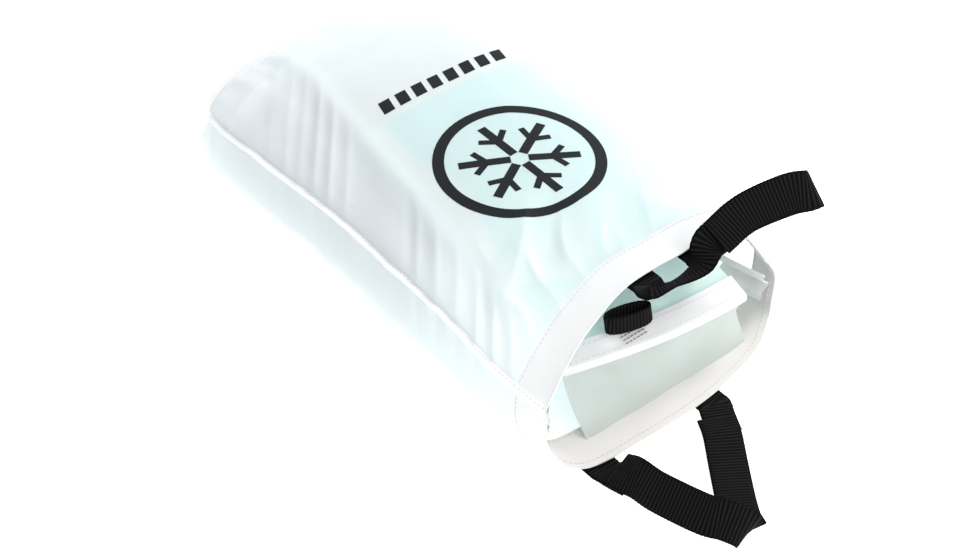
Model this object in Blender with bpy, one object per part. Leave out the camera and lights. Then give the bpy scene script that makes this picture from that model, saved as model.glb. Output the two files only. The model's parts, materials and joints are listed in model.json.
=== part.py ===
"""Carry bag for a pair of climbing skins, with the folded skins stowed inside it.

The bag lies on its back panel, with its closed end towards +Y and its mouth towards -Y.
+Z is up and +X is across the width. The origin is under the middle of the whole object,
on the surface that the bag lies on. All sizes are in metres.
"""
import bisect
import math

import bmesh
import bpy
from mathutils import Matrix, Vector

# ---------------------------------------------------------------- driving dimensions
MM = 0.001
FIT_GAP = 0.3 * MM              # clearance between sewn or touching pieces
SEAM_GAP = 0.6 * MM             # half the gap between the panels' edges inside a seam
FABRIC = 0.9 * MM               # stand-in thickness of one cloth layer
WEBBING_WIDTH = 25.0 * MM
WEBBING = 1.6 * MM              # webbing thickness
TAIL_WIDTH = 22.0 * MM          # folded width of the webbing where it is sewn to a hem

CHORD_Y = -0.139                # Y of the mouth before its lips are shaped
CLOSED_Y = 0.264                # Y of the closed end's seam at its middle
END_BOW = (0.024, 0.012)        # how far that seam's left and right corners lie behind its middle

# share of the way from the mouth to the closed end, with the left and right half widths,
# the height of the side seams, the rise above them and the depth below them at that station
STATIONS = (
    (0.00, 0.1025, 0.0945, 0.0420, 0.0260, 0.0420),
    (0.10, 0.1040, 0.1040, 0.0440, 0.0240, 0.0450),
    (0.29, 0.0985, 0.1125, 0.0455, 0.0205, 0.0460),
    (0.57, 0.0965, 0.1150, 0.0455, 0.0200, 0.0460),
    (0.80, 0.1000, 0.1105, 0.0430, 0.0205, 0.0435),
    (0.90, 0.0995, 0.1035, 0.0390, 0.0185, 0.0395),
    (0.965, 0.0960, 0.0960, 0.0350, 0.0110, 0.0260),
    (1.00, 0.0900, 0.0880, 0.0320, 0.0016, 0.0016),
)
ROOF_POWER = 1.7                # the upper half's left side slopes like a roof
SHOULDER_POWER = 2.6            # and its right side has a square shoulder
BASE_POWER = 4.0                # the lower half is flat with tight corners
FLARE = (0.30, 0.13)            # how much wider the left and right sides are at the base

# the edges of the open mouth, from its left corner to its right corner
UPPER_LIP = (
    (-0.1025, -0.1410, 0.0420), (-0.0640, -0.1230, 0.0550), (-0.0370, -0.1150, 0.0630),
    (-0.0125, -0.1100, 0.0680), (0.0100, -0.1100, 0.0700), (0.0320, -0.1110, 0.0700),
    (0.0575, -0.1070, 0.0660), (0.0870, -0.1100, 0.0580), (0.0945, -0.1300, 0.0420),
)
LOWER_LIP = (
    (-0.1025, -0.1410, 0.0420), (-0.1045, -0.1440, 0.0200), (-0.1010, -0.1500, 0.0065),
    (-0.0945, -0.1620, 0.0034), (-0.0810, -0.1684, 0.0032), (-0.0415, -0.1701, 0.0032),
    (0.0012, -0.1694, 0.0032), (0.0310, -0.1652, 0.0034), (0.0600, -0.1580, 0.0050),
    (0.0820, -0.1460, 0.0100), (0.0905, -0.1400, 0.0180), (0.0990, -0.1330, 0.0300),
    (0.0945, -0.1300, 0.0420),
)
LIP_BLEND = 0.30                # share of the bag's length over which the lips fade out

OUTLINE_CELLS = 96              # cells of one worked-out cross-section
ACROSS = 24                     # grid cells over half the section
ALONG = 22                      # grid cells from mouth to closed end
LIP_CELLS_ALONG = 6             # cells of the grid that belong to the moving lip
LIP_CELLS_SIDE = 3              # cells on each side that stay with the bag
LIP_GAP = 1.2 * MM              # slit between the moving lip and the panel round it

HEM_DEPTH = 0.028               # depth of the folded hem at the mouth
SEAM_WIDTH = 4.0 * MM           # how far a side seam stands out
SEAM_THICK = 1.4 * MM
EAR_TIPS = ((-0.0240, 0.0215, 0.003), (0.016, 0.010, 0.002))    # from each end corner

FRONT_EXITS = ((0.0014, -0.1100, 0.0657), (0.0442, -0.1100, 0.0645))
BACK_EXITS_X = (-0.0803, 0.0090)    # where the lower handle's tails leave the hem

# joint axes, all along X
LIP_PIVOT = (0.0, -0.0290, 0.0655)
FRONT_PIVOT = (0.0, -0.1145, 0.0655)
BACK_PIVOT = (0.0, -0.1708, 0.0010)
FLAP_PIVOT = (0.0, -0.1430, 0.0385)
LOOP_PIVOT = (-0.0199, -0.1290, 0.0475)

# the inner pouch's corners, and how far its hem bows up and forward between them
HEM_LEFT = Vector((-0.068, -0.116, 0.0350))
HEM_RIGHT = Vector((0.064, -0.140, 0.0390))
HEM_BOW = Vector((0.0, -0.009, 0.0045))
FRONT_LEFT = Vector((-0.0745, -0.1465, 0.0065))
FRONT_RIGHT = Vector((0.060, -0.1450, 0.0075))
FAR_LEFT = Vector((-0.066, 0.118, 0.0560))
FAR_RIGHT = Vector((0.066, 0.118, 0.0580))
FAR_BOW = Vector((0.0, 0.0, 0.004))
LOOP_CENTRE = Vector((-0.0199, -0.1220, 0.0552))
LOOP_REACH = 0.0155
LOOP_SPREAD = 0.0048
LOOP_TURN = math.radians(-15)   # the pull loop's long way in plan

SKIN_WIDTH = 0.084
SKIN_LENGTH = 0.205             # length of one folded run of skin
SKIN_LAYERS = 6
SKIN_PITCH = 5.6 * MM
SKIN_THICK = 2.6 * MM
SKIN_FRONT_Y = -0.010
SKIN_FOLD_TURNS = [math.radians(a) for a in (-54, -18, 18, 54)]
SKIN_BOTTOM_Z = 9.5 * MM


# ---------------------------------------------------------------- scene and materials
def clear_scene():
    for item in list(bpy.data.objects):
        bpy.data.objects.remove(item, do_unlink=True)


def material(name, colour, roughness, metallic=0.0):
    found = bpy.data.materials.get(name)
    if found:
        return found
    made = bpy.data.materials.new(name)
    made.use_nodes = True
    shader = made.node_tree.nodes["Principled BSDF"]
    shader.inputs["Base Color"].default_value = (*colour, 1.0)
    shader.inputs["Roughness"].default_value = roughness
    shader.inputs["Metallic"].default_value = metallic
    return made


def finish_mesh(name, mesh_data, look, smooth=True):
    mesh = bpy.data.meshes.new(name)
    mesh_data.to_mesh(mesh)
    mesh_data.free()
    if smooth:
        mesh.shade_smooth()
        mesh.set_sharp_from_angle(angle=math.radians(40))
    mesh.materials.append(look)
    made = bpy.data.objects.new(name, mesh)
    bpy.context.scene.collection.objects.link(made)
    return made


def put_origin(made, point):
    """Move an object's origin to a point and leave its shape where it is."""
    offset = Vector(point)
    made.data.transform(Matrix.Translation(-offset))
    made.location = offset


# ---------------------------------------------------------------- the bag's surface
def ease(value):
    """0 below 0, 1 above 1 and a smooth step between them."""
    step = min(1.0, max(0.0, value))
    return step * step * (3 - 2 * step)


def station(share):
    """Half widths, seam height, rise and depth at a share of the way to the closed end."""
    for low, high in zip(STATIONS, STATIONS[1:]):
        if share <= high[0]:
            step = (share - low[0]) / (high[0] - low[0])
            if high[0] < 0.95:
                step = ease(step)
            return [a + (b - a) * step for a, b in zip(low[1:], high[1:])]
    return list(STATIONS[-1][1:])


def at_fractions(points, fractions):
    """Points at the given fractions of a line's length."""
    lengths = [0.0]
    for a, b in zip(points, points[1:]):
        lengths.append(lengths[-1] + (b - a).length)
    result = []
    for fraction in fractions:
        k = min(bisect.bisect_right(lengths, fraction * lengths[-1]) - 1, len(points) - 2)
        span = lengths[k + 1] - lengths[k]
        result.append(points[k].lerp(points[k + 1], (fraction * lengths[-1] - lengths[k]) / span))
    return result


def body_outline(side, share):
    """The filled bag's cross-section above (side +1) or below (-1) its seams, left to right."""
    left, right, seam, rise, depth = station(share)
    points = []
    for k in range(OUTLINE_CELLS + 1):
        angle = math.pi * (1.0 + math.cos(math.pi * k / OUTLINE_CELLS)) / 2
        cosine, sine = math.cos(angle), max(0.0, math.sin(angle))
        on_left = cosine < 0
        if side > 0:
            power = ROOF_POWER if on_left else SHOULDER_POWER
        else:
            power = BASE_POWER
        reach = abs(cosine) ** (2 / power)
        height = sine ** (2 / power)
        x = reach * (-left if on_left else right)
        if side > 0:
            z = seam + height * rise + SEAM_GAP
        else:
            x *= 1.0 + FLARE[0 if on_left else 1] * height * min(1.0, depth / seam)
            z = max(0.0, seam - height * depth - SEAM_GAP)
        end = CLOSED_Y - END_BOW[0 if on_left else 1] * reach ** 3
        points.append(Vector((x, CHORD_Y + (end - CHORD_Y) * share, z)))
    return points


def section(side, share, fractions, inset=0.0):
    """The bag's cross-section at fractions of its length, moved into the bag by an inset.

    Near the mouth it turns smoothly into the mouth's upper or lower lip.
    """
    line = at_fractions(body_outline(side, share), fractions)
    pull = 1.0 - ease(share / LIP_BLEND)
    if pull > 0:
        corners = [Vector(corner) for corner in (UPPER_LIP if side > 0 else LOWER_LIP)]
        lip = at_fractions(curve_through(corners, 8), fractions)
        start = at_fractions(body_outline(side, 0.0), fractions)
        line = [p + (a - b) * pull for p, a, b in zip(line, lip, start)]
        for point in line:
            point.z += side * SEAM_GAP * pull
    if inset:
        moved = []
        for k, point in enumerate(line):
            along = line[min(k + 1, len(line) - 1)] - line[max(k - 1, 0)]
            moved.append(point + Vector((along.z, 0, -along.x)).normalized() * inset * side)
        line = moved
    return line


def seam_point(sign, share, out=0.0):
    """A point on the left (-1) or right (+1) side seam, and how far out from it."""
    upper = section(1, share, (0.0, 1.0))[0 if sign < 0 else 1]
    return upper + Vector((sign * out, 0, -SEAM_GAP))


def sheet_solid(name, grid, thickness, look, keep=None):
    """A grid of points given a thickness on its inner side, as one closed body."""
    rows, columns = len(grid), len(grid[0])
    work = bmesh.new()
    points = [[work.verts.new(p) for p in row] for row in grid]
    for i in range(rows - 1):
        for j in range(columns - 1):
            if keep is None or keep(i, j):
                work.faces.new((points[i][j], points[i][j + 1], points[i + 1][j + 1], points[i + 1][j]))
    loose = [v for v in work.verts if not v.link_faces]
    bmesh.ops.delete(work, geom=loose, context="VERTS")
    made = finish_mesh(name, work, look)
    solidify = made.modifiers.new("thickness", "SOLIDIFY")
    solidify.thickness = abs(thickness)
    solidify.offset = -1.0 if thickness > 0 else 1.0
    return made


def panel_grid(side, shares, acrosses, inset=0.0):
    return [section(side, share, acrosses, inset) for share in shares]


# ---------------------------------------------------------------- ribbons and strips
def curve_through(values, steps):
    """Points on a Catmull-Rom curve through the given vectors."""
    ends = [values[0] * 2 - values[1]] + list(values) + [values[-1] * 2 - values[-2]]
    result = []
    for k in range(len(values) - 1):
        a, b, c, d = ends[k:k + 4]
        for n in range(steps):
            t = n / steps
            result.append(0.5 * (2 * b + (c - a) * t + (2 * a - 5 * b + 4 * c - d) * t * t
                                 + (3 * b - a - 3 * c + d) * t ** 3))
    result.append(values[-1].copy())
    return result


def ribbon(name, controls, width, thickness, look, steps=5, closed=False):
    """A strap swept along its controls, each a centre point and a width direction."""
    centres = curve_through([Vector(c[0]) for c in controls], steps)
    widths = curve_through([Vector(c[1]) for c in controls], steps)
    if closed:
        centres.pop()
        widths.pop()
    count = len(centres)
    work = bmesh.new()
    rings = []
    for k, (centre, across) in enumerate(zip(centres, widths)):
        ahead = centres[(k + 1) % count] if closed else centres[min(k + 1, count - 1)]
        behind = centres[k - 1] if closed else centres[max(k - 1, 0)]
        if not closed and k in (0, count - 1):
            near, far = (0, 1) if k == 0 else (-2, -1)
            ahead, behind = Vector(controls[far][0]), Vector(controls[near][0])
        along = (ahead - behind).normalized()
        across = (across - along * across.dot(along)).normalized() * width / 2
        normal = along.cross(across).normalized() * thickness / 2
        corners = (across + normal, -across + normal, -across - normal, across - normal)
        rings.append([work.verts.new(centre + corner) for corner in corners])
    pairs = list(zip(rings, rings[1:]))
    if closed:
        pairs.append((rings[-1], rings[0]))
    for near, far in pairs:
        for i in range(4):
            work.faces.new((near[i], near[(i + 1) % 4], far[(i + 1) % 4], far[i]))
    if not closed:
        work.faces.new(rings[0][::-1])
        work.faces.new(rings[-1])
    bmesh.ops.recalc_face_normals(work, faces=work.faces)
    return finish_mesh(name, work, look)


def plate(name, centre, size, look, tilt=(0.0, 0.0, 0.0)):
    """A small flat plate with softened edges, used for sewn tacks and clips."""
    work = bmesh.new()
    bmesh.ops.create_cube(work, size=1.0)
    bmesh.ops.scale(work, vec=size, verts=work.verts)
    bmesh.ops.bevel(work, geom=work.edges, offset=min(size) * 0.2, segments=1, affect="EDGES")
    made = finish_mesh(name, work, look, smooth=False)
    made.location = centre
    made.rotation_euler = tilt
    return made


# ---------------------------------------------------------------- sub-parts
def shares_between(first, last, count):
    return [first + (last - first) * k / count for k in range(count + 1)]


def build_panels(cloth, lining):
    """The upper and lower panels, with the moving lip cut out of the upper one."""
    all_shares = shares_between(0.0, 1.0, ALONG)
    all_across = shares_between(0.0, 1.0, ACROSS)
    last_side = ACROSS - LIP_CELLS_SIDE

    def outside_lip(i, j):
        return i >= LIP_CELLS_ALONG or j < LIP_CELLS_SIDE or j >= last_side

    sheet_solid("front_panel", panel_grid(1, all_shares, all_across), FABRIC, cloth, outside_lip)
    sheet_solid("back_panel", panel_grid(-1, all_shares, all_across), -FABRIC, cloth)

    slit_along = LIP_GAP / (CLOSED_Y - CHORD_Y) * 1.6
    slit_across = 0.006
    lip_shares = shares_between(0.0, all_shares[LIP_CELLS_ALONG] - slit_along, LIP_CELLS_ALONG)
    lip_across = shares_between(all_across[LIP_CELLS_SIDE] + slit_across,
                                all_across[last_side] - slit_across, last_side - LIP_CELLS_SIDE)
    sheet_solid("mouth_lip_panel", panel_grid(1, lip_shares, lip_across), FABRIC, cloth)

    hem_share = HEM_DEPTH / (CLOSED_Y - CHORD_Y)
    inner = FABRIC + 3 * FIT_GAP
    hem_shares = (0.002, all_shares[1], hem_share)
    lip_inner = panel_grid(1, hem_shares, lip_across, inner)
    sheet_solid("front_hem", lip_inner, FABRIC, lining)
    lower_inner = panel_grid(-1, hem_shares, all_across[2:-2], inner)
    sheet_solid("back_hem", lower_inner, -FABRIC, lining)


def build_seams(cloth):
    """Raised side seams, the closed end's seam and the two pinched corners."""
    out = FABRIC + FIT_GAP + SEAM_WIDTH / 2
    for label, sign in (("left", -1), ("right", 1)):
        controls = [(seam_point(sign, share, out), (1, 0, 0)) for share in shares_between(0.004, 0.955, 14)]
        ribbon(f"{label}_side_seam", controls, SEAM_WIDTH, SEAM_THICK, cloth, steps=2)
    edge = section(1, 1.0, shares_between(0.0, 1.0, 14))
    seam_z = STATIONS[-1][3]
    controls = []
    for k, point in enumerate(edge):
        along = edge[min(k + 1, len(edge) - 1)] - edge[max(k - 1, 0)]
        outward = Vector((-along.y, along.x, 0)).normalized()
        centre = Vector((point.x, point.y, seam_z)) + outward * (FIT_GAP + SEAM_WIDTH / 2)
        controls.append((centre, outward))
    ribbon("closed_end_seam", controls, SEAM_WIDTH, SEAM_THICK, cloth, steps=1)
    for label, sign, tip, corner in (("left", -1, EAR_TIPS[0], edge[0]), ("right", 1, EAR_TIPS[1], edge[-1])):
        tip = Vector(tip)
        across = Vector((tip.y, -tip.x, 0)) * sign
        start = Vector((corner.x, corner.y, seam_z)) + tip.normalized() * (SEAM_WIDTH + 1.2 * MM)
        controls = [(start + tip * share - Vector((0, 0, drop)), across)
                    for share, drop in ((0.0, 0.0), (0.5, -0.8 * MM), (1.0, 0.0))]
        ribbon(f"{label}_corner_ear", controls, SEAM_WIDTH * 1.6, SEAM_THICK, cloth, steps=2)


def crossing(left, right, bow, u):
    """A point on the bowed line between two corners."""
    return left.lerp(right, u) + bow * math.sin(math.pi * u)


def build_pouch(mint, pale, white, webbing, thread):
    """The inner pouch: its mint top sheet, white hem, pale front sheet and pull loop."""
    rows = []
    for v in shares_between(0.0, 1.0, 10):
        rise = max(ease(v), math.sin(math.pi / 2 * min(1.0, v * 2.2)))
        row = []
        for u in shares_between(0.0, 1.0, 10):
            near = crossing(HEM_LEFT, HEM_RIGHT, HEM_BOW, u)
            far = crossing(FAR_LEFT, FAR_RIGHT, FAR_BOW, u)
            point = near.lerp(far, v)
            point.z = near.z + (far.z - near.z) * rise
            row.append(point)
        rows.append(row)
    sheet_solid("pouch_top", rows, FABRIC, mint)

    rows = []
    for v in shares_between(0.0, 1.0, 6):
        row = []
        for u in shares_between(0.0, 1.0, 10):
            low = FRONT_LEFT.lerp(FRONT_RIGHT, u)
            point = low.lerp(crossing(HEM_LEFT, HEM_RIGHT, HEM_BOW, u), v)
            point.y += 0.006 * math.sin(math.pi * v) - (FABRIC + FIT_GAP) * v
            point.z -= (FABRIC + 2 * FIT_GAP) * v
            row.append(point)
        rows.append(row)
    sheet_solid("pouch_front", rows, FABRIC, pale)

    rows = []
    for v in (0.0, 0.5, 1.0):
        row = []
        for u in shares_between(0.0, 1.0, 10):
            point = crossing(HEM_LEFT, HEM_RIGHT, HEM_BOW, u)
            point += Vector((0, 0.001 + 0.013 * v, FABRIC + 2 * FIT_GAP + 0.0052 * v))
            row.append(point)
        rows.append(row)
    sheet_solid("pouch_hem", rows, FABRIC, white)

    long_way = Vector((math.cos(LOOP_TURN), math.sin(LOOP_TURN), 0))
    short_way = Vector((-long_way.y, long_way.x, 0))
    ring = []
    for k in range(12):
        turn = 2 * math.pi * k / 12
        flat = math.copysign(abs(math.cos(turn)) ** 0.8, math.cos(turn))
        centre = LOOP_CENTRE + long_way * LOOP_REACH * flat + short_way * LOOP_SPREAD * math.sin(turn)
        ring.append((centre, (-0.05, 0.15, 1.0)))
    ribbon("pouch_loop", ring + ring[:1], 0.013, WEBBING, webbing, steps=2, closed=True)
    plate("pouch_loop_tack", LOOP_CENTRE + Vector((0, -0.0064, -0.0098)),
          (0.018, 0.0036, 0.0010), thread, (math.radians(21), math.radians(-4), LOOP_TURN))


def build_gussets(cloth):
    """The folded cloth that closes each side corner of the mouth."""
    for label, sign, low in (("left", -1, 0.009), ("right", 1, 0.017)):
        rows = []
        for v in shares_between(0.0, 1.0, 4):
            row = []
            for u in shares_between(0.0, 1.0, 6):
                z = low + (0.040 - low) * u
                bulge = 0.006 * math.sin(math.pi * u)
                x = sign * (0.0865 - 0.008 * v + bulge - 0.010 * abs(u - 0.5))
                row.append(Vector((x, CHORD_Y + 0.004 + 0.034 * v, z)))
            rows.append(row)
        sheet_solid(f"{label}_mouth_gusset", rows, -sign * FABRIC, cloth)


def build_front_handle(webbing):
    """The upper handle, which stands up and leans to the right of the mouth.

    The grip is one flattened loop: its front leg faces up and towards the mouth's left
    side, its back leg returns behind it, and a tail is sewn inside each leg.
    """
    left, right = (Vector(point) for point in FRONT_EXITS)
    ahead = FRONT_PIVOT[1] - left.y
    for label, leave, slope, gap in (("left", left, 0.0, 5.2 * MM), ("right", right, -0.14, 4.0 * MM)):
        controls = [(leave + Vector((0, back, -drop)), (1, 0, slope))
                    for back, drop in ((0.026, 1.8 * MM), (0.010, 0.8 * MM), (ahead + gap, 0.4 * MM))]
        ribbon(f"front_{label}_anchor", controls, TAIL_WIDTH, WEBBING, webbing, steps=2)

    start = Vector((0.0488, -0.1226, 0.0830))
    end = Vector((0.1116, -0.1462, 0.1055))
    along = (end - start).normalized()
    facing = Vector((-0.46, -0.57, 0.68))
    facing = (facing - along * facing.dot(along)).normalized()
    upright = facing.cross(along)
    reach = (end - start).length

    def at(run, out, rise=0.0):
        return start + along * run + facing * out + upright * rise

    inner = (WEBBING + FIT_GAP) * 1.1
    half = 4.2 * MM
    tails = {
        "left": [(left + Vector((0, ahead, 0)), (1, 0, 0)),
                 (left + Vector((0.0002, ahead - 0.0040, -0.0006)), (0.99, 0.05, -0.08)),
                 (Vector((0.0150, -0.1252, 0.0655)), (0.70, 0.55, -0.46)),
                 (Vector((0.0332, -0.1303, 0.0742)), (0.40, 0.85, -0.15)),
                 (at(-0.003, half - inner, -0.001), upright),
                 (at(0.014, half - inner, 0.0015), upright)],
        "right": [(right + Vector((0, ahead, 0)), (1, 0, -0.14)),
                  (right + Vector((0.0003, ahead - 0.0045, 0.0004)), (0.97, 0.12, -0.02)),
                  (at(-0.003, -half - inner * 1.6, -0.003), (0.35, 0.8, 0.5)),
                  (at(0.016, -half - inner * 1.6, 0.002), upright)],
    }
    for label, controls in tails.items():
        ribbon(f"front_handle_{label}_tail", controls, TAIL_WIDTH, WEBBING, webbing, steps=3)
    grip = [(at(0.001, half + 0.0006, -0.001), upright),
            (at(reach * 0.35, half, 0.0055), upright),
            (at(reach * 0.75, half, 0.0050), upright),
            (at(reach - half, half * 0.95, 0.001), upright),
            (at(reach, 0, 0), upright),
            (at(reach - half, -half * 0.95, 0), upright),
            (at(reach * 0.75, -half, 0.0030), upright),
            (at(reach * 0.35, -half, 0.0045), upright),
            (at(0.006, -half, 0), upright)]
    ribbon("front_handle_grip", grip, WEBBING_WIDTH, WEBBING, webbing, steps=4)


def build_back_handle(webbing):
    """The lower handle, which lies on the surface in front of the mouth.

    Its right leg lies flat, and the left leg leans over it and turns under at the tip.
    """
    low = WEBBING / 2 + 0.2 * MM
    left = Vector((BACK_EXITS_X[0], BACK_PIVOT[1], 0))
    right = Vector((BACK_EXITS_X[1], BACK_PIVOT[1], 0))
    for label, leave in (("left", left), ("right", right)):
        controls = [(leave + Vector((0, back, low)), (1, 0, 0)) for back in (0.030, 0.015, 0.0012)]
        ribbon(f"back_{label}_anchor", controls, TAIL_WIDTH, WEBBING, webbing, steps=1)
    tails = {
        "left": [(left + Vector((0, 0, low)), (1, 0, 0)),
                 (left + Vector((0, -0.0040, low + 0.0006)), (1, 0, 0)),
                 (left + Vector((0.0006, -0.0100, 0.0045)), (0.95, -0.05, 0.28)),
                 (left + Vector((0.0016, -0.0230, 0.0090)), (0.72, -0.22, 0.60))],
        "right": [(right + Vector((0, 0, low)), (1, 0, 0)),
                  (right + Vector((0, -0.0040, low)), (1, 0, 0)),
                  (right + Vector((-0.004, -0.011, low)), (0.95, -0.3, 0)),
                  (right + Vector((-0.011, -0.025, low)), (0.89, -0.46, 0))],
    }
    for label, controls in tails.items():
        ribbon(f"back_handle_{label}_tail", controls, TAIL_WIDTH, WEBBING, webbing, steps=4)
    above = 2 * low + WEBBING / 2 + FIT_GAP
    grip = [(left + Vector((0.0008, -0.0110, 0.0085)), (0.90, -0.10, 0.42)),
            (left + Vector((0.0020, -0.0270, 0.0140)), (0.62, -0.30, 0.72)),
            (left + Vector((0.0045, -0.0440, 0.0140)), (0.68, -0.07, 0.73)),
            (left + Vector((0.0135, -0.0730, 0.0140)), (0.75, 0.17, 0.63)),
            (left + Vector((0.0200, -0.0850, 0.0145)), (0.82, 0.16, 0.55)),
            (left + Vector((0.0255, -0.0940, 0.0125)), (0.88, 0.14, 0.42)),
            (left + Vector((0.0285, -0.0965, 0.0090)), (0.92, 0.10, 0.25)),
            (left + Vector((0.0305, -0.0940, 0.0052)), (0.94, 0.00, 0.08)),
            (left + Vector((0.0355, -0.0845, 0.0030)), (0.88, -0.35, 0)),
            (left + Vector((0.0443, -0.0702, low + 0.0008)), (0.83, -0.56, 0)),
            (right + Vector((-0.0275, -0.0450, low + 0.0002)), (0.88, -0.45, 0)),
            (right + Vector((-0.0155, -0.0270, low + 0.0026)), (0.89, -0.46, 0)),
            (right + Vector((-0.0085, -0.0140, above)), (0.92, -0.38, 0))]
    ribbon("back_handle_grip", grip, WEBBING_WIDTH, WEBBING, webbing, steps=5)


def build_skins(plush, metal, rubber):
    """Two climbing skins, each folded into a flat stack, side by side in the bag."""
    top_z = SKIN_BOTTOM_Z + (SKIN_LAYERS - 1) * SKIN_PITCH
    for label, sign in (("left", -1), ("right", 1)):
        x = sign * (SKIN_WIDTH / 2 + 0.004)
        controls = []
        for layer in range(SKIN_LAYERS):
            z = SKIN_BOTTOM_Z + layer * SKIN_PITCH
            way = -1 if layer % 2 else 1
            start = SKIN_FRONT_Y if way > 0 else SKIN_FRONT_Y + SKIN_LENGTH
            end = start + way * SKIN_LENGTH
            controls += [((x, y, z), (1, 0, 0)) for y in (start, (start + end) / 2, end)]
            for turn in SKIN_FOLD_TURNS if layer < SKIN_LAYERS - 1 else ():
                radius = SKIN_PITCH / 2
                out = way * radius * math.cos(turn)
                controls.append(((x, end + out, z + radius + radius * math.sin(turn)), (1, 0, 0)))
        ribbon(f"{label}_skin", controls, SKIN_WIDTH, SKIN_THICK, plush, steps=1)
        hook = Vector((x, SKIN_FRONT_Y - 0.013, top_z))
        ring = []
        for k in range(13):
            turn = 2 * math.pi * k / 12
            ring.append((hook + Vector((0.020 * math.cos(turn), 0.009 * math.sin(turn), 0)), (0, 0, 1)))
        ribbon(f"{label}_skin_tip_loop", ring, 0.003, 0.003, metal, steps=2, closed=True)
        plate(f"{label}_skin_tail_clip", (x, SKIN_FRONT_Y - 0.014, SKIN_BOTTOM_Z), (0.030, 0.022, 0.004), rubber)


def place_origins():
    """Each moving piece turns about, or slides from, its own origin."""
    hinged = {
        LIP_PIVOT: ("mouth_lip_panel", "front_hem", "front_left_anchor", "front_right_anchor"),
        FRONT_PIVOT: ("front_handle_grip", "front_handle_left_tail", "front_handle_right_tail"),
        BACK_PIVOT: ("back_handle_grip", "back_handle_left_tail", "back_handle_right_tail"),
        FLAP_PIVOT: ("pouch_front",),
        LOOP_PIVOT: ("pouch_loop",),
    }
    for pivot, names in hinged.items():
        for name in names:
            put_origin(bpy.data.objects[name], pivot)


def build_all():
    clear_scene()
    cloth = material("bag_cloth", (0.86, 0.93, 0.94), 0.45)
    lining = material("hem_lining", (0.90, 0.88, 0.85), 0.6)
    mint = material("pouch_mint", (0.70, 0.87, 0.83), 0.5)
    pale = material("pouch_pale", (0.88, 0.90, 0.88), 0.5)
    white = material("pouch_hem_white", (0.93, 0.94, 0.95), 0.5)
    webbing = material("black_webbing", (0.012, 0.012, 0.012), 0.7)
    thread = material("black_thread", (0.02, 0.02, 0.02), 0.8)
    plush = material("skin_plush", (0.62, 0.64, 0.66), 0.9)
    metal = material("tip_loop_metal", (0.75, 0.76, 0.78), 0.25, 1.0)
    rubber = material("tail_clip_plastic", (0.05, 0.05, 0.055), 0.5)
    build_panels(cloth, lining)
    build_seams(cloth)
    build_gussets(cloth)
    build_pouch(mint, pale, white, webbing, thread)
    build_front_handle(webbing)
    build_back_handle(webbing)
    build_skins(plush, metal, rubber)
    place_origins()


build_all()
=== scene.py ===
"""Looks of a carry bag for climbing skins: its cloth, webbing, stitching and prints.

Everything is in metres in the CAD frame: +Z up, +Y from the open mouth to the closed end,
+X across the bag. The bag's shape, the pouch and the straps repeat the CAD model's routes.
"""
import bisect
import json
import math

import bmesh
import bpy
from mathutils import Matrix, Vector, noise
from mathutils.bvhtree import BVHTree


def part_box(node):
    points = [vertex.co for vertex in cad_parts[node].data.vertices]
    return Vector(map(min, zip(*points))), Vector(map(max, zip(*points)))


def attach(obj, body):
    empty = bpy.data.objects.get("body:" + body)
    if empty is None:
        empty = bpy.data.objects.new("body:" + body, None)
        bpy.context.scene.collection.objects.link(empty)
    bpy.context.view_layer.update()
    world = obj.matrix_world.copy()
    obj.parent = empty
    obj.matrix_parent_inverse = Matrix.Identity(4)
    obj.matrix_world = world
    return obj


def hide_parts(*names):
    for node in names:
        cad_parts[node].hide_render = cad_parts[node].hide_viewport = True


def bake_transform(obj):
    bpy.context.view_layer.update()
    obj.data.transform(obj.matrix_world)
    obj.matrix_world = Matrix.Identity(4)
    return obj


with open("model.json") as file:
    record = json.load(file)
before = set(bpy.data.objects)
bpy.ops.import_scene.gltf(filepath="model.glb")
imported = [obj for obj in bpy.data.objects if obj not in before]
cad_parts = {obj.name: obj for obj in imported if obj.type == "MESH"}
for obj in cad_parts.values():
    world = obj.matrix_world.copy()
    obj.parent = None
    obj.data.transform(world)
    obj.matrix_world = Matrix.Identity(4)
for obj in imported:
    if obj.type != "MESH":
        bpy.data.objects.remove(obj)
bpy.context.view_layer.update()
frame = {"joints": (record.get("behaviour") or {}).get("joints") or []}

# ------------ driving dimensions
MM = 0.001
UP = Vector((0, 0, 1))


def mm(x, y, z):
    """A place or a step given in millimetres."""
    return Vector((x, y, z)) * MM


panel_low, panel_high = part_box("front_panel")
CORNER_REACH = 2.0 * MM  # the mouth's left corner lies ahead of its chord
CHORD_Y = panel_low.y + CORNER_REACH  # the mouth before its lips are shaped
CLOSED_Y = panel_high.y  # the closed end, at its middle
END_BOW = (0.024, 0.012)  # how far its left and right corners lie behind

# share of the way from the mouth to the closed end, with the left and right half widths, the
# height of the side seams, the rise above them and the depth below them in millimetres
STATIONS = (
    (0.00, 102.5, 94.5, 42, 26, 42),
    (0.10, 104, 104, 44, 24, 45),
    (0.29, 98.5, 112.5, 45.5, 20.5, 46),
    (0.57, 96.5, 115, 45.5, 20, 46),
    (0.80, 100, 110.5, 43, 20.5, 43.5),
    (0.90, 99.5, 103.5, 39, 18.5, 39.5),
    (0.965, 96, 96, 35, 11, 26),
    (1.00, 90, 88, 32, 0.6, 0.6),
)
ROOF_POWER = 1.7  # the upper half's left side slopes like a roof
SHOULDER_POWER = 2.6  # and its right side has a square shoulder
BASE_POWER = 4.0  # the lower half is flat with tight corners
FLARE = (0.30, 0.13)  # how much wider the left and right sides are at the base

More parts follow.
